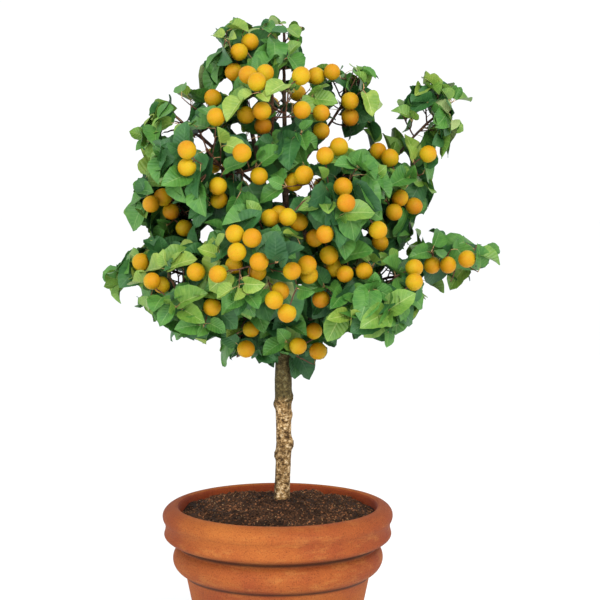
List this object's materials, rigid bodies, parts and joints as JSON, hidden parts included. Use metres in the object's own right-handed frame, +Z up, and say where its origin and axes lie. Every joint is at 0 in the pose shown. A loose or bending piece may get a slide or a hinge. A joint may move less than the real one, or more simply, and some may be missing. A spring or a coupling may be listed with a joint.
{
  "type": "potted dwarf apricot tree",
  "caption": "Dwarf stone-fruit tree with a slim bare trunk, a full round crown of broad leaves and small golden fruit, in a rolled-rim clay pot filled with soil.",
  "frame": {"origin": "middle of the pot's flat underside", "axes": "+Z up along the pot's axis, +X to the right of the picture's view, +Y away from it"},
  "size_m": [0.7373, 0.6429, 1.329],
  "materials": {
    "clay": "unglazed terracotta with a dusty ochre bloom on its rolls",
    "soil": "loose dark potting soil with reddish crumbs",
    "bark": "mottled beige and brown bark with dark flecks and pruning scars",
    "bough_bark": "smooth dark brown young bark",
    "foliage": "green leaves, half glossy, and golden orange fruit"
  },
  "bodies": {
    "root": {"pot": "clay", "soil": "soil", "trunk": "bark", "high_spray_bough": "bough_bark", "low_back_bough": "bough_bark", "low_front_bough": "bough_bark", "low_left_back_bough": "bough_bark", "low_left_bough": "bough_bark", "low_left_front_bough": "bough_bark", "low_right_back_bough": "bough_bark", "low_right_bough": "bough_bark", "low_right_front_bough": "bough_bark", "low_spray_bough": "bough_bark", "mid_left_back_bough": "bough_bark", "mid_left_bough": "bough_bark", "mid_left_front_bough": "bough_bark", "mid_right_back_bough": "bough_bark", "mid_right_bough": "bough_bark", "mid_right_front_bough": "bough_bark", "shoulder_back_bough": "bough_bark", "shoulder_front_bough": "bough_bark", "shoulder_left_bough": "bough_bark", "shoulder_right_bough": "bough_bark", "top_left_bough": "bough_bark", "top_right_bough": "bough_bark", "high_spray_foliage": "foliage", "low_back_foliage": "foliage", "low_front_foliage": "foliage", "low_left_back_foliage": "foliage", "low_left_foliage": "foliage", "low_left_front_foliage": "foliage", "low_right_back_foliage": "foliage", "low_right_foliage": "foliage", "low_right_front_foliage": "foliage", "low_spray_foliage": "foliage", "mid_left_back_foliage": "foliage", "mid_left_foliage": "foliage", "mid_left_front_foliage": "foliage", "mid_right_back_foliage": "foliage", "mid_right_foliage": "foliage", "mid_right_front_foliage": "foliage", "shoulder_back_foliage": "foliage", "shoulder_front_foliage": "foliage", "shoulder_left_foliage": "foliage", "shoulder_right_foliage": "foliage", "skirt_back_foliage": "foliage", "skirt_left_front_foliage": "foliage", "skirt_right_front_foliage": "foliage", "top_left_foliage": "foliage", "top_right_foliage": "foliage"}
  },
  "joints": []
}
